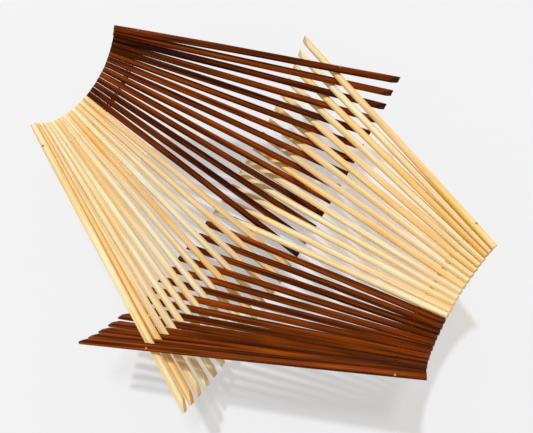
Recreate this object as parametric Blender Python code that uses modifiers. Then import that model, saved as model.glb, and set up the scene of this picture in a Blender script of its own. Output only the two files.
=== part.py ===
"""Folding basket of turned sticks strung on three wires, stored open. Metres, +Z up, keel along Y, rims at -X and +X."""

import math

import bmesh
import bpy
from mathutils import Matrix, Vector

for old in list(bpy.data.objects):
    bpy.data.objects.remove(old)

# Sticks: each thickens quickly from its rim end to a shoulder, and slowly from there to its foot
STICKS_PER_COLOUR = 14
STICK_LENGTH = 0.230
STICK_RIM_DIAMETER = 0.0043
STICK_SHOULDER_DIAMETER = 0.00515
STICK_SHOULDER_FROM_RIM = 0.0700
STICK_FOOT_DIAMETER = 0.0057
RIM_CHAMFER = 0.0005
STICK_FACETS = 12
FOOT_BEVEL_LENGTH = 0.0100
FOOT_BEVEL_DEPTH = 0.0033

# Wires, and the holes that they run in
WIRE_DIAMETER = 0.0010
RIM_HOLE_FROM_END = 0.0188
KEEL_HOLE_FROM_END = 0.0500
HOLE_FACETS = 8
CRIMP_DIAMETER = 0.0022
CRIMP_LENGTH = 0.0010
CRIMP_FACETS = 12
SPACER_DIAMETER = 0.0040
SPACER_FACETS = 10
WIRE_BEVEL_RESOLUTION = 2

# Fit: the gap left between pieces that touch, and the one between neighbours on the keel
CLEARANCE = 0.0003
KEEL_GAP = 0.0005

# How far each wing leans from upright while the basket is open, in degrees
OPEN_LEAN = 61.6

# Where each stick's hinge lies off its keel hole, as shares of the keel's radius, in powers 2, 4 and 6 of the
# stick's place along the keel
HINGE_SIDE_SHARES = (-0.3794, 0.3453, -0.2495)
HINGE_DROP_SHARES = (0.1362, -0.0307, 0.0400)

# Colours
DARK_WOOD = (0.170, 0.045, 0.014, 1.0)
LIGHT_WOOD = (0.780, 0.560, 0.290, 1.0)
STEEL = (0.620, 0.600, 0.570, 1.0)
WOOD_ROUGHNESS = 0.55
STEEL_ROUGHNESS = 0.35

# Derived: stick widths and the pitches that make the two fans
STICKS_PER_WING = 2 * STICKS_PER_COLOUR
WIRE_HOLE_DIAMETER = WIRE_DIAMETER + 2 * CLEARANCE


def stick_width(from_rim):
    """Diameter of a stick at this distance from its rim end."""
    past = from_rim - STICK_SHOULDER_FROM_RIM
    if past < 0:
        slope = (STICK_SHOULDER_DIAMETER - STICK_RIM_DIAMETER) / STICK_SHOULDER_FROM_RIM
    else:
        slope = (STICK_FOOT_DIAMETER - STICK_SHOULDER_DIAMETER) / (STICK_LENGTH - STICK_SHOULDER_FROM_RIM)
    return STICK_SHOULDER_DIAMETER + slope * past


KEEL_WIDTH = stick_width(STICK_LENGTH - KEEL_HOLE_FROM_END)
RIM_HOLE_WIDTH = stick_width(RIM_HOLE_FROM_END)
RIM_PITCH = STICK_RIM_DIAMETER + CLEARANCE
KEEL_PITCH = 2 * (KEEL_WIDTH + KEEL_GAP)
UPPER_LENGTH = STICK_LENGTH - KEEL_HOLE_FROM_END
HOLE_SPAN = UPPER_LENGTH - RIM_HOLE_FROM_END
APEX_TO_RIM = UPPER_LENGTH * RIM_PITCH / (KEEL_PITCH - RIM_PITCH)
APEX_TO_KEEL = APEX_TO_RIM + UPPER_LENGTH
LEAN = math.radians(OPEN_LEAN)
KEEL_RADIUS = APEX_TO_KEEL * math.cos(LEAN)
RIM_WIRE_RADIUS = (APEX_TO_RIM + RIM_HOLE_FROM_END) * math.cos(LEAN)
HALF_ARC = KEEL_PITCH * (STICKS_PER_WING - 0.5) / 2
RIM_WIRE_PITCH = 2 * RIM_WIRE_RADIUS * math.sin(KEEL_PITCH / KEEL_RADIUS / 2)
SPACER_THICKNESS = RIM_WIRE_PITCH - RIM_HOLE_WIDTH - 2 * CLEARANCE

LEFT, RIGHT = 1, -1


def place_on_keel(side, number):
    """Arc length of a stick's hole from the keel's middle. Left and right sticks take turns along the wire."""
    first = HALF_ARC if side == LEFT else HALF_ARC - KEEL_PITCH / 2
    return first - number * KEEL_PITCH


def station(side, arc):
    """Keel point, stick direction towards the foot, and wire direction at this arc length."""
    turn = arc / KEEL_RADIUS
    wire = Vector((0, math.cos(turn), math.sin(turn)))
    keel = Vector((0, KEEL_RADIUS * math.sin(turn), KEEL_RADIUS - KEEL_RADIUS * math.cos(turn)))
    down = Vector((side * math.sin(LEAN), math.cos(LEAN) * math.sin(turn), -math.cos(LEAN) * math.cos(turn)))
    return keel, down, wire


def hinge_point(side, arc):
    """A point on the axis about which the stick swings as the basket folds."""
    keel, _, wire = station(side, arc)
    share = arc / HALF_ARC
    aside = KEEL_RADIUS * sum(k * share ** (2 * n + 2) for n, k in enumerate(HINGE_SIDE_SHARES))
    drop = KEEL_RADIUS * sum(k * share ** (2 * n + 2) for n, k in enumerate(HINGE_DROP_SHARES))
    outward = wire.cross(Vector((1, 0, 0)))
    return keel + Vector((side * aside, 0, 0)) + outward * drop


# Collections and materials
def new_collection(name):
    made = bpy.data.collections.new(name)
    bpy.context.scene.collection.children.link(made)
    return made


basket = new_collection("folding_stick_basket")
cutters = new_collection("cutters")
cutters.hide_render = True


def material(name, colour, roughness, metallic):
    made = bpy.data.materials.new(name)
    made.use_nodes = True
    shader = made.node_tree.nodes["Principled BSDF"]
    shader.inputs["Base Color"].default_value = colour
    shader.inputs["Roughness"].default_value = roughness
    shader.inputs["Metallic"].default_value = metallic
    made.diffuse_color = colour
    return made


def move_to(obj, home):
    for owner in list(obj.users_collection):
        owner.objects.unlink(obj)
    home.objects.link(obj)


def as_cutter(obj):
    move_to(obj, cutters)
    obj.hide_render = True
    obj.display_type = "WIRE"
    return obj


def evaluated_mesh(obj, name):
    graph = bpy.context.evaluated_depsgraph_get()
    graph.update()
    return bpy.data.meshes.new_from_object(obj.evaluated_get(graph), preserve_all_data_layers=False, depsgraph=graph)


def add_boolean(obj, tool, operation):
    step = obj.modifiers.new(operation.lower(), "BOOLEAN")
    step.operation = operation
    step.solver = "EXACT"
    step.object = tool


def tidy(mesh, within):
    """Merges doubled points, turns all faces outwards and shades smooth."""
    work = bmesh.new()
    work.from_mesh(mesh)
    bmesh.ops.remove_doubles(work, verts=work.verts, dist=within)
    bmesh.ops.recalc_face_normals(work, faces=work.faces)
    work.to_mesh(mesh)
    work.free()
    mesh.shade_smooth()


MERGE_SHARE = 0.01
MERGE = WIRE_DIAMETER * MERGE_SHARE


# The stick: a turned, tapered rod, drilled twice and bevelled at the foot on its upper side (+Y)
def stick_blank():
    profile = [
        (0, 0),
        (STICK_RIM_DIAMETER / 2 - RIM_CHAMFER, 0),
        (STICK_RIM_DIAMETER / 2, RIM_CHAMFER),
        (STICK_SHOULDER_DIAMETER / 2, STICK_SHOULDER_FROM_RIM),
        (STICK_FOOT_DIAMETER / 2, STICK_LENGTH),
        (0, STICK_LENGTH),
    ]
    mesh = bpy.data.meshes.new("stick_profile")
    mesh.from_pydata([(x, 0, z) for x, z in profile], [(n, n + 1) for n in range(len(profile) - 1)], [])
    turned = bpy.data.objects.new("stick_turned", mesh)
    cutters.objects.link(turned)
    screw = turned.modifiers.new("screw", "SCREW")
    screw.axis = "Z"
    screw.steps = STICK_FACETS
    screw.render_steps = STICK_FACETS
    screw.use_merge_vertices = True
    screw.merge_threshold = MERGE
    solid = evaluated_mesh(turned, "stick_solid")
    bpy.data.objects.remove(turned)
    tidy(solid, MERGE)
    blank = as_cutter(bpy.data.objects.new("stick_blank", solid))
    for name, height in (("rim", RIM_HOLE_FROM_END), ("keel", STICK_LENGTH - KEEL_HOLE_FROM_END)):
        bpy.ops.mesh.primitive_cylinder_add(
            vertices=HOLE_FACETS,
            radius=WIRE_HOLE_DIAMETER / 2,
            depth=2 * STICK_FOOT_DIAMETER,
            location=(0, 0, height),
            rotation=(0, math.pi / 2, 0),
        )
        drill = as_cutter(bpy.context.object)
        drill.name = name + "_drill"
        add_boolean(blank, drill, "DIFFERENCE")
    slope = math.atan2(FOOT_BEVEL_DEPTH, FOOT_BEVEL_LENGTH)
    start = Vector((0, STICK_FOOT_DIAMETER / 2, STICK_LENGTH - FOOT_BEVEL_LENGTH))
    along = Vector((0, -math.sin(slope), math.cos(slope)))
    out = Vector((0, math.cos(slope), math.sin(slope)))
    middle = start + along * FOOT_BEVEL_LENGTH / 2 + out * STICK_FOOT_DIAMETER
    bpy.ops.mesh.primitive_cube_add(size=1, location=middle, rotation=(slope, 0, 0))
    plane = as_cutter(bpy.context.object)
    plane.name = "foot_bevel"
    plane.scale = (2 * STICK_FOOT_DIAMETER, 2 * STICK_FOOT_DIAMETER, 3 * FOOT_BEVEL_LENGTH)
    add_boolean(blank, plane, "DIFFERENCE")
    mesh = evaluated_mesh(blank, "stick_mesh")
    tidy(mesh, MERGE)
    return mesh


def add_piece(name, mesh, origin, colour, roughness, metallic):
    """Makes the object with its origin at this point, without moving its mesh in the world."""
    mesh.name = name
    mesh.transform(Matrix.Translation(-origin))
    mesh.materials.clear()
    mesh.materials.append(material(name, colour, roughness, metallic))
    obj = bpy.data.objects.new(name, mesh)
    obj.location = origin
    basket.objects.link(obj)
    return obj


blank_mesh = stick_blank()
pieces = []
for side, side_name, first_colour in ((LEFT, "left", "dark"), (RIGHT, "right", "light")):
    for number in range(STICKS_PER_WING):
        arc = place_on_keel(side, number)
        keel, down, wire = station(side, arc)
        across = wire * side
        upper = down.cross(across)
        turn = Matrix((across, upper, down)).transposed().to_4x4()
        rim_end = keel - down * UPPER_LENGTH
        mesh = blank_mesh.copy()
        mesh.transform(Matrix.Translation(rim_end) @ turn)
        is_dark = (number < STICKS_PER_COLOUR) == (first_colour == "dark")
        shade = "dark" if is_dark else "light"
        name = f"{shade}_{side_name}_stick_{number % STICKS_PER_COLOUR + 1:02d}"
        colour = DARK_WOOD if is_dark else LIGHT_WOOD
        pieces.append(add_piece(name, mesh, hinge_point(side, arc), colour, WOOD_ROUGHNESS, 0))


# Wires, each with its crimps and, at the rims, the spacers strung between sticks
def wire_mesh(points):
    curve = bpy.data.curves.new("wire_path", "CURVE")
    curve.dimensions = "3D"
    curve.bevel_depth = WIRE_DIAMETER / 2
    curve.bevel_resolution = WIRE_BEVEL_RESOLUTION
    curve.use_fill_caps = True
    spline = curve.splines.new("POLY")
    spline.points.add(len(points) - 1)
    for spot, point in zip(spline.points, points):
        spot.co = (*point, 1)
    path = bpy.data.objects.new("wire_path", curve)
    cutters.objects.link(path)
    mesh = evaluated_mesh(path, "wire")
    bpy.data.objects.remove(path)
    tidy(mesh, MERGE)
    return mesh


def disc(centre, direction, diameter, thickness, facets):
    bpy.ops.mesh.primitive_cylinder_add(
        vertices=facets,
        radius=diameter / 2,
        depth=thickness,
        location=centre,
        rotation=direction.to_track_quat("Z", "Y").to_euler(),
    )
    return as_cutter(bpy.context.object)


def strung_wire(name, path, ends, steps, stations, origin):
    """One wire along path(angle) between the two end angles, with a crimp at each end and a spacer at each station."""
    low, high = ends
    points = [path(low + (high - low) * n / steps)[0] for n in range(steps + 1)]
    body = as_cutter(bpy.data.objects.new(name + "_core", wire_mesh(points)))
    for angle in ends:
        add_boolean(body, disc(*path(angle), CRIMP_DIAMETER, CRIMP_LENGTH, CRIMP_FACETS), "UNION")
    for angle in stations:
        add_boolean(body, disc(*path(angle), SPACER_DIAMETER, SPACER_THICKNESS, SPACER_FACETS), "UNION")
    mesh = evaluated_mesh(body, name)
    tidy(mesh, MERGE * MERGE_SHARE)
    return add_piece(name, mesh, origin, STEEL, STEEL_ROUGHNESS, 1)


def keel_path(turn):
    keel, _, wire = station(LEFT, turn * KEEL_RADIUS)
    return keel, wire


def rim_path(side):
    def path(turn):
        keel, down, wire = station(side, turn * KEEL_RADIUS)
        return keel - down * HOLE_SPAN, wire

    return path


past_keel_end = (KEEL_WIDTH / 2 + CLEARANCE + CRIMP_LENGTH / 2) / KEEL_RADIUS
keel_end = HALF_ARC / KEEL_RADIUS + past_keel_end
pieces.append(strung_wire("keel_wire", keel_path, (-keel_end, keel_end), 2 * STICKS_PER_WING, (), Vector()))
past_rim_end = (RIM_HOLE_WIDTH / 2 + CLEARANCE + CRIMP_LENGTH / 2) / RIM_WIRE_RADIUS
for side, side_name in ((LEFT, "left"), (RIGHT, "right")):
    turns = [place_on_keel(side, number) / KEEL_RADIUS for number in range(STICKS_PER_WING)]
    between = [(a + b) / 2 for a, b in zip(turns, turns[1:])]
    ends = (turns[-1] - past_rim_end, turns[0] + past_rim_end)
    middle_arc = place_on_keel(side, STICKS_PER_COLOUR if side == LEFT else STICKS_PER_COLOUR - 1)
    origin = hinge_point(side, middle_arc)
    pieces.append(strung_wire(side_name + "_rim_wire", rim_path(side), ends, STICKS_PER_WING, between, origin))

# Stand the basket on the floor
bpy.context.view_layer.update()
lowest = min((piece.matrix_world @ vertex.co).z for piece in pieces for vertex in piece.data.vertices)
for piece in pieces:
    piece.location.z -= lowest
bpy.context.view_layer.update()
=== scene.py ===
import math
import random
from collections import namedtuple

import bpy
from mathutils import Matrix, Vector


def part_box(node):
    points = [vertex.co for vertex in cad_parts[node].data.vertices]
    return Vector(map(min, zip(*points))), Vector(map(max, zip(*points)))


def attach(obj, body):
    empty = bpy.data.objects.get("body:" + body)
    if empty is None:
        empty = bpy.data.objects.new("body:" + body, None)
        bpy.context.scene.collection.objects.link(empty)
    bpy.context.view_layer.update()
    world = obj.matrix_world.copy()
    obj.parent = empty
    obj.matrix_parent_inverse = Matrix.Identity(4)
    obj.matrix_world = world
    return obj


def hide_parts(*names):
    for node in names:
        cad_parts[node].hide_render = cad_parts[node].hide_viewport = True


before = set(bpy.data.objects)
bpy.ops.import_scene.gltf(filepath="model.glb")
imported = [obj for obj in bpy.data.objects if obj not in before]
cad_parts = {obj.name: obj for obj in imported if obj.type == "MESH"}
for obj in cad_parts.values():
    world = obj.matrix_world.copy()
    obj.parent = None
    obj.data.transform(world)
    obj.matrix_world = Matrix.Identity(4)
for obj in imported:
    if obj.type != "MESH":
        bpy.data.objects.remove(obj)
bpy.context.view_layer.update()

MM = 0.001

# The basket as the frame has it, in metres and degrees
STICKS_PER_COLOUR = 14
STICK_LENGTH = 0.230
STICK_RIM_DIAMETER = 0.0043
STICK_SHOULDER_DIAMETER = 0.00515
STICK_SHOULDER_FROM_RIM = 0.0700
STICK_FOOT_DIAMETER = 0.0057
FOOT_BEVEL_LENGTH = 0.0100
FOOT_BEVEL_DEPTH = 0.0033
WIRE_DIAMETER = 0.0010
RIM_HOLE_FROM_END = 0.0188
KEEL_HOLE_FROM_END = 0.0500
CRIMP_DIAMETER = 0.0022
CRIMP_LENGTH = 0.0010
WASHER_DIAMETER = 0.0042
CLEARANCE = 0.0003
KEEL_GAP = 0.0005
OPEN_LEAN = 61.6


def stick_width(from_rim):
    """How wide the frame's sticks are at this distance from their rim end."""
    past_shoulder = from_rim - STICK_SHOULDER_FROM_RIM
    if past_shoulder < 0:
        slope = (STICK_SHOULDER_DIAMETER - STICK_RIM_DIAMETER) / STICK_SHOULDER_FROM_RIM
    else:
        slope = (STICK_FOOT_DIAMETER - STICK_SHOULDER_DIAMETER) / (STICK_LENGTH - STICK_SHOULDER_FROM_RIM)
    return STICK_SHOULDER_DIAMETER + slope * past_shoulder


# The two fans of sticks, which follow from the sizes above
LEFT, RIGHT = 1, -1
STICKS_PER_WING = 2 * STICKS_PER_COLOUR
UPPER_LENGTH = STICK_LENGTH - KEEL_HOLE_FROM_END
HOLE_SPAN = UPPER_LENGTH - RIM_HOLE_FROM_END
KEEL_WIDTH = stick_width(UPPER_LENGTH)
RIM_HOLE_WIDTH = stick_width(RIM_HOLE_FROM_END)
RIM_PITCH = STICK_RIM_DIAMETER + CLEARANCE
KEEL_PITCH = 2 * (KEEL_WIDTH + KEEL_GAP)
APEX_TO_RIM = UPPER_LENGTH * RIM_PITCH / (KEEL_PITCH - RIM_PITCH)
LEAN = math.radians(OPEN_LEAN)
KEEL_RADIUS = (APEX_TO_RIM + UPPER_LENGTH) * math.cos(LEAN)
RIM_WIRE_RADIUS = (APEX_TO_RIM + RIM_HOLE_FROM_END) * math.cos(LEAN)
RIM_WIRE_PITCH = 2 * RIM_WIRE_RADIUS * math.sin(KEEL_PITCH / KEEL_RADIUS / 2)
HALF_ARC = KEEL_PITCH * (STICKS_PER_WING - 0.5) / 2
KEEL_BOTTOM = Vector((0, 0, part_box("keel_wire")[0].z + WIRE_DIAMETER / 2))


def group_name(side, number):
    """The stick's group of one colour. The colours change over at the middle of each wing."""
    dark = (number < STICKS_PER_COLOUR) == (side == LEFT)
    return f"{'dark' if dark else 'light'}_{'left' if side == LEFT else 'right'}"


def stick_name(side, number):
    """The stick's node in the frame, which is also its body."""
    return f"{group_name(side, number)}_stick_{number % STICKS_PER_COLOUR + 1:02d}"


def place_on_keel(side, number):
    """Arc length of a stick's hole from the keel's middle."""
    first = HALF_ARC if side == LEFT else HALF_ARC - KEEL_PITCH / 2
    return first - number * KEEL_PITCH


def station(side, arc):
    """Keel point, stick direction towards the foot, and wire direction at this arc length."""
    turn = arc / KEEL_RADIUS
    wire = Vector((0, math.cos(turn), math.sin(turn)))
    keel = KEEL_BOTTOM + Vector((0, math.sin(turn), 1 - math.cos(turn))) * KEEL_RADIUS
    down = Vector((side * math.sin(LEAN), math.cos(LEAN) * math.sin(turn), -math.cos(LEAN) * math.cos(turn)))
    return keel, down, wire


def turn_to(across, down):
    """Turns a pattern piece so that its X lies across the stick and its Z towards the stick's foot."""
    return Matrix((across, down.cross(across), down)).transposed()


# The camera as solved from the photograph, in its pixels. The length of the turn vector is the angle of the
# turn in radians.
IMAGE_WIDTH, IMAGE_HEIGHT = 533, 433
FOCAL_PIXELS = 610.19
PRINCIPAL_POINT = (228.91, 178.78)
CAMERA_FROM_KEEL = Vector((0.08319, -0.12910, 0.51118))
CAMERA_TURN = Vector((2.666, 0.798, -0.199))
SENSOR_MILLIMETRES = 36.0
NEAREST_SEEN = 0.01


def make_camera():
    """Makes the camera at the photograph's place, with its field of view."""
    data = bpy.data.cameras.new("camera")
    data.sensor_width = SENSOR_MILLIMETRES
    data.lens = SENSOR_MILLIMETRES * FOCAL_PIXELS / IMAGE_WIDTH
    data.shift_x = (IMAGE_WIDTH / 2 - PRINCIPAL_POINT[0]) / IMAGE_WIDTH
    data.shift_y = (PRINCIPAL_POINT[1] - IMAGE_HEIGHT / 2) / IMAGE_WIDTH
    data.clip_start = NEAREST_SEEN
    camera = bpy.data.objects.new("camera", data)
    bpy.context.scene.collection.objects.link(camera)
    # The turn takes the scene to a view whose Y points down and Z away, and Blender's view has both reversed
    to_view = Matrix.Rotation(CAMERA_TURN.length, 3, CAMERA_TURN.normalized())
    flip = Matrix(((1, 0, 0), (0, -1, 0), (0, 0, -1)))
    place = Matrix.Translation(KEEL_BOTTOM + CAMERA_FROM_KEEL)
    camera.matrix_world = place @ (flip @ to_view).transposed().to_4x4()
    bpy.context.scene.camera = camera


make_camera()


# Materials
def srgb(code):
    """A hex colour as a linear one."""
    shares = [int(code[n : n + 2], 16) / 255 for n in (1, 3, 5)]
    return (*(c / 12.92 if c <= 0.04045 else ((c + 0.055) / 1.055) ** 2.4 for c in shares), 1)


def add(tree, kind, inputs=None, **settings):
    """Adds a node. An input is a value, or another node's output to link."""
    made = tree.nodes.new("ShaderNode" + kind)
    for name, value in settings.items():
        setattr(made, name, value)
    for name, value in (inputs or {}).items():
        if isinstance(value, bpy.types.NodeSocket):
            tree.links.new(value, made.inputs[name])
        else:
            made.inputs[name].default_value = value
    return made


def new_material(name):
    """An empty material and its node tree."""
    made = bpy.data.materials.new(name)
    made.use_nodes = True
    made.node_tree.nodes.clear()
    return made, made.node_tree


# Sockets of a colour Mix node
COLOUR_A, COLOUR_B, COLOUR_OUT = 6, 7, 2

# Wood patterns: width across the stick and length along it in millimetres, and detail of the noise. Real
# fibres are finer, and are drawn this coarse so that they show.
GRAIN = {
    "rings": (2.1, 150.0, 2.0),
    "patches": (6.0, 45.0, 1.0),
    "fibres": (0.40, 24.0, 2.0),
    "pores": (0.13, 2.4, 1.0),
}
# The values of its noise between which a pattern goes from its least to its full effect
RING_EDGES = (0.43, 0.62)
PATCH_EDGES = (0.30, 0.70)
FIBRE_EDGES = (0.35, 0.65)
PORE_EDGES = (0.60, 0.74)
SHEEN_EDGES = (0.30, 0.70)
# How far patches shift the tone, how bright the brightest fibre is (a painted glint above the wood's own
# colour), and how dark a pore
PATCH_TONE = 0.22
FIBRE_PAINTED_GLINT = 1.06
PORE_SHADE = 0.86
# How far the lacquer's roughness goes below and above its middle along the fibres
SMOOTHER, ROUGHER = 0.05, 0.08
FIBRE_HEIGHT = 0.02 * MM
FIBRE_BUMP = 0.35
LACQUER_IOR = 1.5


def lacquered_wood(name, pale, deep, ring, ring_share, fibre_shade, end_shade, roughness, gloss):
    """Turned wood under a satin lacquer. Each stick has its own tone between pale and deep, long soft
    growth rings, patches where the stain or the sap lies thicker, fine fibres and short pores, and cut
    ends of another shade."""
    made, tree = new_material(name)
    place = add(tree, "Attribute", attribute_name="grain_place").outputs["Vector"]
    stick_tone = add(tree, "Attribute", attribute_name="grain_tone").outputs["Fac"]
    drawn = {"cut_end": add(tree, "Attribute", attribute_name="cut_end").outputs["Fac"]}
    for pattern, (across, along, detail) in GRAIN.items():
        per_millimetre = (1 / across, 1 / across, 1 / along)
        scaled = add(tree, "VectorMath", {0: place, 1: per_millimetre}, operation="MULTIPLY").outputs[0]
        noise = add(tree, "TexNoise", {"Vector": scaled, "Scale": 1.0, "Detail": detail})
        drawn[pattern] = noise.outputs["Fac"]
    # For each effect: its pattern, the noise values between which it grows, and how weak and strong it gets
    strengths = {
        "tone shift": ("patches", PATCH_EDGES, -PATCH_TONE, PATCH_TONE),
        "ring share": ("rings", RING_EDGES, 0.0, ring_share),
        # Fibres run from darker grain, the wood's own, to a painted glint on the lightest ones
        "fibre shade and painted glint": ("fibres", FIBRE_EDGES, fibre_shade, FIBRE_PAINTED_GLINT),
        "pore shade": ("pores", PORE_EDGES, 1.0, PORE_SHADE),
        "end shade": ("cut_end", (0.0, 1.0), 1.0, end_shade),
        "roughness": ("fibres", SHEEN_EDGES, roughness - SMOOTHER, roughness + ROUGHER),
    }
    effect = {}
    for use, (pattern, (start, full), least, most) in strengths.items():
        ranges = {"From Min": start, "From Max": full, "To Min": least, "To Max": most}
        effect[use] = add(tree, "MapRange", {"Value": drawn[pattern], **ranges}).outputs[0]
    tones = {0: stick_tone, 1: effect["tone shift"]}
    tone = add(tree, "Math", tones, operation="ADD", use_clamp=True).outputs[0]
    colours = {"Factor": tone, COLOUR_A: srgb(pale), COLOUR_B: srgb(deep)}
    base = add(tree, "Mix", colours, data_type="RGBA").outputs[COLOUR_OUT]
    colours = {"Factor": effect["ring share"], COLOUR_A: base, COLOUR_B: srgb(ring)}
    ringed = add(tree, "Mix", colours, data_type="RGBA").outputs[COLOUR_OUT]
    shade = effect["fibre shade and painted glint"]
    for use in ("pore shade", "end shade"):
        shade = add(tree, "Math", {0: shade, 1: effect[use]}, operation="MULTIPLY").outputs[0]
    colours = {"Factor": 1.0, COLOUR_A: ringed, COLOUR_B: shade}
    shaded = add(tree, "Mix", colours, data_type="RGBA", blend_type="MULTIPLY").outputs[COLOUR_OUT]
    bump = add(tree, "Bump", {"Height": drawn["fibres"], "Strength": FIBRE_BUMP, "Distance": FIBRE_HEIGHT})
    surface = {
        "Base Color": shaded,
        "Roughness": effect["roughness"],
        "Normal": bump.outputs["Normal"],
        "IOR": LACQUER_IOR,
        "Specular IOR Level": gloss,
    }
    shader = add(tree, "BsdfPrincipled", surface)
    add(tree, "OutputMaterial", {"Surface": shader.outputs["BSDF"]})
    return made


# Lines that the drawing die leaves, in millimetres. Real ones are finer, and these are as coarse as they need
# to be to show.
DIE_LINE = 0.4
DIE_LINE_DETAIL = 3.0
METAL_SMOOTHEST, METAL_ROUGHEST = 0.24, 0.44


def drawn_metal(name, dark, bright):
    """Metal drawn through a die: faint lines break up its soft highlights."""
    made, tree = new_material(name)
    at = add(tree, "TexCoord").outputs["Object"]
    lines = {"Vector": at, "Scale": 1 / (DIE_LINE * MM), "Detail": DIE_LINE_DETAIL}
    marks = add(tree, "TexNoise", lines).outputs["Fac"]
    rough = add(tree, "MapRange", {"Value": marks, "To Min": METAL_SMOOTHEST, "To Max": METAL_ROUGHEST})
    tint = add(tree, "Mix", {"Factor": marks, COLOUR_A: srgb(dark), COLOUR_B: srgb(bright)}, data_type="RGBA")
    surface = {"Base Color": tint.outputs[COLOUR_OUT], "Metallic": 1.0, "Roughness": rough.outputs[0]}
    shader = add(tree, "BsdfPrincipled", surface)
    add(tree, "OutputMaterial", {"Surface": shader.outputs["BSDF"]})
    return made


# Birch turned, stained walnut brown and thinly lacquered: orange-brown where the stain took little, nearly
# black in the rings, and dull, so that the group looks deep and warm
STAINED = lacquered_wood(
    "walnut_stained_birch",
    pale="#A64C04",
    deep="#360C00",
    ring="#0E0100",
    ring_share=0.82,
    fibre_shade=0.64,
    end_shade=0.48,
    roughness=0.40,
    gloss=0.05,
)
# The same birch under clear lacquer: cream to honey yellow, with faint tan rings and a soft shine
CLEAR = lacquered_wood(
    "clear_lacquered_birch",
    pale="#FFF8D2",
    deep="#FFCE72",
    ring="#D68B30",
    ring_share=0.38,
    fibre_shade=0.90,
    end_shade=0.90,
    roughness=0.44,
    gloss=0.18,
)
# Wire, dull grey where it shows between sticks
STEEL = drawn_metal("drawn_steel", dark="#7C766C", bright="#ABA59A")
# Beads, pinkish against the dark sticks and brownish against the light ones
COPPER = drawn_metal("pressed_copper", dark="#A8755A", bright="#D9A688")


# Modelling helpers
ALONG_X = (0, math.pi / 2, 0)
# Angles in degrees: edges sharper than the first are rounded, and those flatter than the second shaded smooth
STICK_EDGES = (40, 35)
WASHER_EDGES = (50, 35)
METAL_EDGES = (50, 50)


def select_only(obj):
    """Selects the object alone and makes it the active one."""
    bpy.ops.object.select_all(action="DESELECT")
    bpy.context.view_layer.objects.active = obj
    obj.select_set(True)


def edit(obj):
    """Opens the object in edit mode with nothing selected."""
    select_only(obj)
    bpy.ops.object.mode_set(mode="EDIT")
    bpy.ops.mesh.select_mode(type="FACE")
    bpy.ops.mesh.select_all(action="DESELECT")


def select_where(obj, kind, test):
    """Selects the edges or faces of the open mesh whose vertices all pass the test."""
    bpy.ops.object.mode_set(mode="OBJECT")
    mesh = obj.data
    passed = [test(vertex.co) for vertex in mesh.vertices]
    for item in getattr(mesh, kind):
        item.select = all(passed[n] for n in item.vertices)
    bpy.ops.object.mode_set(mode="EDIT")


def apply_modifier(obj, kind, **settings):
    """Adds a modifier and takes its result into the mesh."""
    select_only(obj)
    step = obj.modifiers.new(kind.lower(), kind)
    for name, value in settings.items():
        setattr(step, name, value)
    bpy.ops.object.modifier_apply(modifier=step.name)


def round_edges(obj, width, segments, angles):
    """Bevels the sharp edges and shades the flat ones smooth."""
    sharp, smooth = (math.radians(angle) for angle in angles)
    apply_modifier(obj, "BEVEL", width=width, segments=segments, limit_method="ANGLE", angle_limit=sharp)
    select_only(obj)
    bpy.ops.object.shade_smooth_by_angle(angle=smooth)


def settled():
    """The primitive just added, with its turn taken into its mesh."""
    bpy.ops.object.transform_apply(location=True, rotation=True, scale=True)
    return bpy.context.object


# The pattern sticks, modelled at their own origin: rim end at 0, foot up +Z, slanted cut on +Y, holes along X
STICK_SIDES = 36
STICK_RINGS = 46
HOLE_SIDES = 16
RIM_ROUNDING = 0.00014
EDGE_ROUNDING = 0.00012
# How much fuller than the frame's a turned stick is just past its rim end, so that the rim looks closed
FULL_SHARE = 0.108
FULL_FROM_RIM = 0.018
FULL_TO_TIP = 0.022
FULL_TO_FOOT = 0.105


def turned_width(from_rim, full_share=FULL_SHARE):
    """How wide a turned stick is: the frame's width, and fuller by a soft hump past its rim end."""
    reach = FULL_TO_TIP if from_rim < FULL_FROM_RIM else FULL_TO_FOOT
    away = min(abs(from_rim - FULL_FROM_RIM) / reach, 1)
    return stick_width(from_rim) * (1 + full_share * math.cos(math.pi / 2 * away) ** 2)


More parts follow.
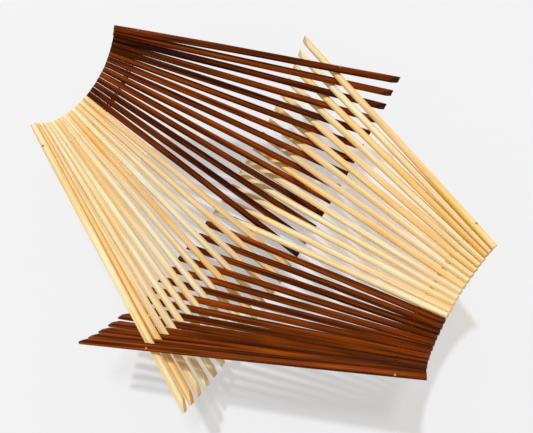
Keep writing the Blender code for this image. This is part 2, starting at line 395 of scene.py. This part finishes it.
def model_stick(full_share):
    """A stick extruded ring by ring from its rim end, cut at a slant at its foot and drilled."""
    bpy.ops.mesh.primitive_circle_add(vertices=STICK_SIDES, radius=STICK_RIM_DIAMETER / 2, fill_type="NGON")
    stick = bpy.context.object
    edit(stick)
    bpy.ops.mesh.select_all(action="SELECT")
    step = STICK_LENGTH / STICK_RINGS
    for ring in range(1, STICK_RINGS + 1):
        bpy.ops.mesh.extrude_region_move(TRANSFORM_OT_translate={"value": (0, 0, step)})
        wider = turned_width(ring * step, full_share) / turned_width((ring - 1) * step, full_share)
        bpy.ops.transform.resize(value=(wider, wider, 1), center_override=(0, 0, ring * step))
    bpy.ops.mesh.select_all(action="SELECT")
    bpy.ops.mesh.normals_make_consistent(inside=False)
    bpy.ops.mesh.select_all(action="DESELECT")
    bpy.ops.mesh.select_mode(type="EDGE")
    select_where(stick, "edges", lambda co: co.z < step / 2)
    bpy.ops.mesh.bevel(offset=RIM_ROUNDING, segments=3, affect="EDGES")
    slope = math.atan2(FOOT_BEVEL_DEPTH, FOOT_BEVEL_LENGTH)
    bpy.ops.mesh.select_all(action="SELECT")
    bpy.ops.mesh.bisect(
        plane_co=(0, STICK_FOOT_DIAMETER / 2, STICK_LENGTH - FOOT_BEVEL_LENGTH),
        plane_no=(0, math.cos(slope), math.sin(slope)),
        use_fill=True,
        clear_outer=True,
    )
    bpy.ops.object.mode_set(mode="OBJECT")
    for height in (RIM_HOLE_FROM_END, UPPER_LENGTH):
        bpy.ops.mesh.primitive_cylinder_add(
            vertices=HOLE_SIDES,
            radius=WIRE_DIAMETER / 2 + CLEARANCE,
            depth=2 * STICK_FOOT_DIAMETER,
            location=(0, 0, height),
            rotation=ALONG_X,
        )
        drill = bpy.context.object
        apply_modifier(stick, "BOOLEAN", operation="DIFFERENCE", solver="EXACT", object=drill)
        bpy.data.objects.remove(drill)
    round_edges(stick, EDGE_ROUNDING, segments=2, angles=STICK_EDGES)
    return stick


# Small pieces on the wires, each modelled once about its own origin with the wire along X
SMALL_SIDES = 24
RUN_SIDES = 12
SMALL_ROUNDING = 0.00012
WASHER_HOLE_SHARE = 0.45
SHOW_PAST_STICK = 0.00005
TURNED_RIM_WIDTH = turned_width(RIM_HOLE_FROM_END)


def model_washer(stick_width_there):
    """A flat ring, drilled and rounded, that fills the room between two sticks of this width. It leaves free
    what shows of the wire's stretches past both sticks, and as much again."""
    thickness = RIM_WIRE_PITCH - stick_width_there - 4 * SHOW_PAST_STICK
    radius = WASHER_DIAMETER / 2
    hole = radius * WASHER_HOLE_SHARE
    bpy.ops.mesh.primitive_cylinder_add(
        vertices=SMALL_SIDES, radius=radius, depth=thickness, rotation=ALONG_X
    )
    washer = settled()
    edit(washer)
    for end in (-1, 1):
        select_where(washer, "polygons", lambda co: co.x * end > thickness / 4)
        bpy.ops.mesh.inset(thickness=radius - hole)
    select_where(washer, "polygons", lambda co: math.hypot(co.y, co.z) < (hole + radius) / 2)
    bpy.ops.mesh.bridge_edge_loops()
    bpy.ops.object.mode_set(mode="OBJECT")
    round_edges(washer, SMALL_ROUNDING, segments=2, angles=WASHER_EDGES)
    return washer


# The bead as pressed flat against its stick: its width and height as shares of the frame's crimp, and its
# top, bore and bore depth as shares of the pressed bead
BEAD_WIDTH_SHARE = 0.85
BEAD_HEIGHT_SHARE = 0.55
BEAD_TOP_SHARE = 0.75
BEAD_BORE_SHARE = 0.55
BEAD_DEPTH_SHARE = 0.45
BEAD_RADIUS = CRIMP_DIAMETER / 2 * BEAD_WIDTH_SHARE
BEAD_HEIGHT = CRIMP_LENGTH * BEAD_HEIGHT_SHARE
BEAD_BORE_DEPTH = BEAD_HEIGHT * BEAD_DEPTH_SHARE


def model_crimp():
    """A soft metal bead pressed to a low cone, with the wire's cut end sunk in its outer face."""
    bpy.ops.mesh.primitive_cone_add(
        vertices=SMALL_SIDES,
        radius1=BEAD_RADIUS,
        radius2=BEAD_RADIUS * BEAD_TOP_SHARE,
        depth=BEAD_HEIGHT,
        rotation=ALONG_X,
    )
    crimp = settled()
    edit(crimp)
    select_where(crimp, "polygons", lambda co: co.x > BEAD_HEIGHT / 4)
    bpy.ops.mesh.inset(thickness=BEAD_RADIUS * (BEAD_TOP_SHARE - BEAD_BORE_SHARE))
    bpy.ops.mesh.extrude_region_move(TRANSFORM_OT_translate={"value": (-BEAD_BORE_DEPTH, 0, 0)})
    bpy.ops.mesh.inset(thickness=BEAD_RADIUS * BEAD_BORE_SHARE - WIRE_DIAMETER / 2)
    bpy.ops.mesh.extrude_region_move(TRANSFORM_OT_translate={"value": (BEAD_BORE_DEPTH / 2, 0, 0)})
    bpy.ops.object.mode_set(mode="OBJECT")
    round_edges(crimp, SMALL_ROUNDING / 2, segments=2, angles=METAL_EDGES)
    return crimp


def model_run(width):
    """The stretch of wire inside one stick, just longer than the stick is wide there."""
    bpy.ops.mesh.primitive_cylinder_add(
        vertices=RUN_SIDES, radius=WIRE_DIAMETER / 2, depth=width + 2 * SHOW_PAST_STICK, rotation=ALONG_X
    )
    run = settled()
    round_edges(run, SMALL_ROUNDING / 2, segments=1, angles=METAL_EDGES)
    return run


# Placing the pieces
def add_piece(name, mesh, material, body, node):
    """Puts a finished mesh into the scene, riding on a body and standing for a node."""
    mesh.name = name
    mesh.materials.clear()
    mesh.materials.append(material)
    piece = bpy.data.objects.new(name, mesh)
    bpy.context.scene.collection.objects.link(piece)
    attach(piece, body)
    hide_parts(node)
    return piece


def add_copy(pattern, name, place, turn, material, body, node):
    """A copy of a small pattern piece, set in its place on a wire."""
    mesh = pattern.data.copy()
    mesh.transform(Matrix.Translation(place) @ turn.to_4x4())
    return add_piece(name, mesh, material, body, node)


def mark_wood(mesh, places, tones, cut_faces):
    """Gives the wood material its coordinates along the stick, its tones and its cut faces."""
    mesh.attributes.new("grain_place", "FLOAT_VECTOR", "POINT").data.foreach_set("vector", places)
    mesh.attributes.new("grain_tone", "FLOAT", "POINT").data.foreach_set("value", tones)
    mesh.attributes.new("cut_end", "FLOAT", "FACE").data.foreach_set("value", cut_faces)


# The dark right group's sticks are as slim as the frame's from this one outwards. Past it, thicker washers
# take up the wider room between them.
FIRST_SLIM = STICKS_PER_COLOUR + 3
# Natural differences between sticks: bows and end places in metres, and width as a share
SIDE_BOW = 0.00040
DEPTH_BOW = 0.00045
RIM_END_SPREAD = 0.00015
FOOT_END_SPREAD = 0.0005
WIDTH_SPREAD_SHARE = 0.010
# How far apart, in millimetres, two sticks may lie in the wood they are cut from
GRAIN_SHIFT = 400.0
# A face whose normal leans more than this along the stick is a cut end
CUT_NORMAL = 0.25


def bow(from_rim):
    """1 halfway between the two holes, 0 at both and beyond them."""
    share = (from_rim - RIM_HOLE_FROM_END) / HOLE_SPAN
    if 0 < share < 1:
        return math.sin(math.pi * share) ** 2
    return 0


def add_stick(pattern, side, number, group):
    """Adds a stick with its own width, bow, end places, grain and tone, and returns the tone."""
    name = stick_name(side, number)
    rng = random.Random(name)
    width = group.fullness + rng.uniform(-WIDTH_SPREAD_SHARE, WIDTH_SPREAD_SHARE)
    side_bow = rng.uniform(-SIDE_BOW, SIDE_BOW)
    depth_bow = rng.uniform(-DEPTH_BOW, DEPTH_BOW)
    rim_extra = rng.uniform(-RIM_END_SPREAD, RIM_END_SPREAD)
    foot_short = rng.uniform(0, FOOT_END_SPREAD)
    grain_shift = Vector([rng.uniform(0, GRAIN_SHIFT) for _ in range(3)])
    grain_roll = Matrix.Rotation(rng.uniform(0, 2 * math.pi), 3, "Z")
    outer = max(0, 1 - min(number, STICKS_PER_WING - 1 - number) / group.outer_reach)
    drawn_tone = rng.gauss(group.tone + outer * group.outer_tone, group.spread)
    tone = min(1.0, max(0.0, drawn_tone))
    fade = group.fade + outer * group.outer_fade

    keel, down, wire = station(side, place_on_keel(side, number))
    turn = turn_to(wire * side, down)
    rim_end = keel - down * UPPER_LENGTH
    mesh = pattern.data.copy()
    cut_faces = [float(abs(face.normal.z) > CUT_NORMAL) for face in mesh.polygons]
    places, tones = [], []
    for vertex in mesh.vertices:
        x, y, z = vertex.co
        tones.append(tone + fade * (0.5 - z / STICK_LENGTH))
        places.extend(grain_roll @ vertex.co / MM + grain_shift)
        past_rim_hole = max(0.0, 1 - z / RIM_HOLE_FROM_END)
        past_keel_hole = max(0.0, (z - UPPER_LENGTH) / KEEL_HOLE_FROM_END)
        lengthwise = z - rim_extra * past_rim_hole - foot_short * past_keel_hole
        bent = Vector((x * width + side_bow * bow(z), y * width + depth_bow * bow(z), lengthwise))
        vertex.co = rim_end + turn @ bent
    mark_wood(mesh, places, tones, cut_faces)
    add_piece(name + "_turned", mesh, group.wood, name, name)
    return tone


def add_washer(pattern, side, number, wood, tone, rim_wire):
    """Adds the washer between a stick and the next. It moves with the stick."""
    name = stick_name(side, number)
    keel, down, wire = station(side, place_on_keel(side, number) - KEEL_PITCH / 2)
    place = keel - down * HOLE_SPAN
    turn = turn_to(wire * side, down)
    mesh = add_copy(pattern, name + "_rim_washer", place, turn, wood, name, rim_wire).data
    places = [part for vertex in pattern.data.vertices for part in vertex.co / MM]
    mark_wood(mesh, places, [tone] * len(mesh.vertices), [0.0] * len(mesh.polygons))


def add_wire_pieces(patterns, side, number, wood, tone):
    """Adds the stick's stretches of wire, the washer before the next stick, and the beads at a wire's end."""
    name = stick_name(side, number)
    rim_wire = "left_rim_wire" if side == LEFT else "right_rim_wire"
    keel, down, wire = station(side, place_on_keel(side, number))
    rim = keel - down * HOLE_SPAN
    turn = turn_to(wire * side, down)
    add_copy(patterns["keel_run"], name + "_keel_run", keel, turn, STEEL, name, "keel_wire")
    add_copy(patterns["rim_run"], name + "_rim_run", rim, turn, STEEL, name, rim_wire)
    if number < STICKS_PER_WING - 1:
        thick = side == RIGHT and number > FIRST_SLIM
        washer = patterns["thick_washer" if thick else "washer"]
        add_washer(washer, side, number, wood, tone, rim_wire)
    # The rim wire ends outside the wing's first and last stick
    outward = {0: 1, STICKS_PER_WING - 1: -1}.get(number)
    if outward:
        out = wire * outward
        turn = turn_to(out, down)
        bead = rim + out * ((TURNED_RIM_WIDTH + BEAD_HEIGHT) / 2)
        add_copy(patterns["crimp"], name + "_rim_bead", bead, turn, COPPER, name, rim_wire)
        # The keel wire ends outside the first left stick and the last right one
        if (side == LEFT) == (number == 0):
            bead = keel + out * ((KEEL_WIDTH + BEAD_HEIGHT) / 2)
            add_copy(patterns["crimp"], name + "_keel_bead", bead, turn, COPPER, name, "keel_wire")


# What sets the groups of sticks apart. A tone goes from 0, pale, to 1, deep, fade is how much deeper the rim
# end is than the foot, and fullness is a share of the pattern's width. The outer values come on top at a
# group's outermost stick, and fade out over as many sticks as outer_reach says.
Group = namedtuple("Group", "wood tone spread fade fullness outer_tone outer_fade outer_reach")
GROUPS = {
    "dark_left": Group(STAINED, 0.46, 0.22, 0.06, 1.01, -0.10, -0.30, 2),
    "light_left": Group(CLEAR, 0.36, 0.28, 0.0, 1.015, 0.16, 0.0, 5),
    "light_right": Group(CLEAR, 0.42, 0.28, 0.0, 1.015, 0.14, 0.50, 5),
    "dark_right": Group(STAINED, 0.33, 0.10, 0.56, 0.99, 0.0, 0.0, 1),
}

full_stick, slim_stick = model_stick(FULL_SHARE), model_stick(0)
small_patterns = {
    "washer": model_washer(TURNED_RIM_WIDTH),
    "thick_washer": model_washer(RIM_HOLE_WIDTH),
    "crimp": model_crimp(),
    "keel_run": model_run(KEEL_WIDTH),
    "rim_run": model_run(TURNED_RIM_WIDTH),
}
for side in (LEFT, RIGHT):
    for number in range(STICKS_PER_WING):
        group = GROUPS[group_name(side, number)]
        stick = slim_stick if side == RIGHT and number >= FIRST_SLIM else full_stick
        tone = add_stick(stick, side, number, group)
        add_wire_pieces(small_patterns, side, number, group.wood, tone)
for pattern in (full_stick, slim_stick, *small_patterns.values()):
    bpy.data.objects.remove(pattern)


# Studio. A strength or share of 1 shows a white floor as white.
FLOOR_RADIUS = 9.0
FLOOR_SIDES = 128
FLOOR_COLOUR = "#E5E7EA"
# The floor as the basket gets light from it, a darker and warmer grey: the sticks keep their shaded sides
FLOOR_BOUNCE_COLOUR = "#D0C4A8"
FLOOR_ROUGHNESS = 0.9
FLOOR_GLOSS = 0.1
BACKGROUND_COLOUR = "#F4F7FF"
# How much of the floor's look is the background's own, without shadows
BACKGROUND_SHARE = 0.42
SKY_COLOUR = "#FFEFCF"
SKY_STRENGTH = 0.54
LAMP_COLOUR = "#F3F7FF"
# Place of each lamp and size of its disk in metres, and its share of the light
LAMPS = {
    "side_lamp": ((-1.33, 0.35, 5.00), 0.22, 0.48),
    "overhead_lamp": ((-0.39, 0.46, 5.00), 0.50, 0.20),
}


def seen_ray(tree, path):
    """1 for what is seen directly, in gloss or through glass, and 0 for light that falls on things."""
    seen = path.outputs["Is Camera Ray"]
    for kind in ("Is Glossy Ray", "Is Transmission Ray"):
        seen = add(tree, "Math", {0: seen, 1: path.outputs[kind]}, operation="MAXIMUM").outputs[0]
    return seen


def make_floor():
    """A wide round sheet of matt paper: an even pale grey that keeps the basket's soft shadow."""
    bpy.ops.mesh.primitive_circle_add(vertices=FLOOR_SIDES, radius=FLOOR_RADIUS, fill_type="NGON")
    floor = bpy.context.object
    floor.name = "studio_floor"
    made, tree = new_material("matt_paper")
    path = add(tree, "LightPath")
    bounce = path.outputs["Is Diffuse Ray"]
    colours = {"Factor": bounce, COLOUR_A: srgb(FLOOR_COLOUR), COLOUR_B: srgb(FLOOR_BOUNCE_COLOUR)}
    colour = add(tree, "Mix", colours, data_type="RGBA").outputs[COLOUR_OUT]
    surface = {"Base Color": colour, "Roughness": FLOOR_ROUGHNESS, "Specular IOR Level": FLOOR_GLOSS}
    paper = add(tree, "BsdfPrincipled", surface)
    seen = add(tree, "Emission", {"Color": srgb(BACKGROUND_COLOUR), "Strength": 1.0})
    share = add(tree, "Math", {0: seen_ray(tree, path), 1: BACKGROUND_SHARE}, operation="MULTIPLY")
    mixed = add(tree, "MixShader", {0: share.outputs[0], 1: paper.outputs["BSDF"], 2: seen.outputs[0]})
    add(tree, "OutputMaterial", {"Surface": mixed.outputs[0]})
    floor.data.materials.append(made)


def make_world():
    """A warm soft sky that lights the basket, and a pale background where it is seen."""
    world = bpy.data.worlds.new("studio")
    bpy.context.scene.world = world
    world.use_nodes = True
    tree = world.node_tree
    tree.nodes.clear()
    light = add(tree, "Background", {"Color": srgb(SKY_COLOUR), "Strength": SKY_STRENGTH})
    seen = add(tree, "Background", {"Color": srgb(BACKGROUND_COLOUR), "Strength": 1.0})
    share = seen_ray(tree, add(tree, "LightPath"))
    mixed = add(tree, "MixShader", {0: share, 1: light.outputs[0], 2: seen.outputs[0]})
    add(tree, "OutputWorld", {"Surface": mixed.outputs[0]})


def add_lamp(name, place, size, share):
    """A round lamp aimed at the basket, as strong as its share of the light on the floor there needs."""
    to_basket = -Vector(place)
    distance = to_basket.length
    slant = place[2] / distance
    data = bpy.data.lights.new(name, "AREA")
    data.shape = "DISK"
    data.size = size
    data.energy = share * (math.pi * distance) ** 2 / slant
    data.color = srgb(LAMP_COLOUR)[:3]
    lamp = bpy.data.objects.new(name, data)
    bpy.context.scene.collection.objects.link(lamp)
    lamp.location = place
    lamp.rotation_euler = to_basket.to_track_quat("-Z", "Y").to_euler()


make_floor()
make_world()
for name, (place, size, share) in LAMPS.items():
    add_lamp(name, place, size, share)
bpy.context.scene.view_settings.view_transform = "Standard"
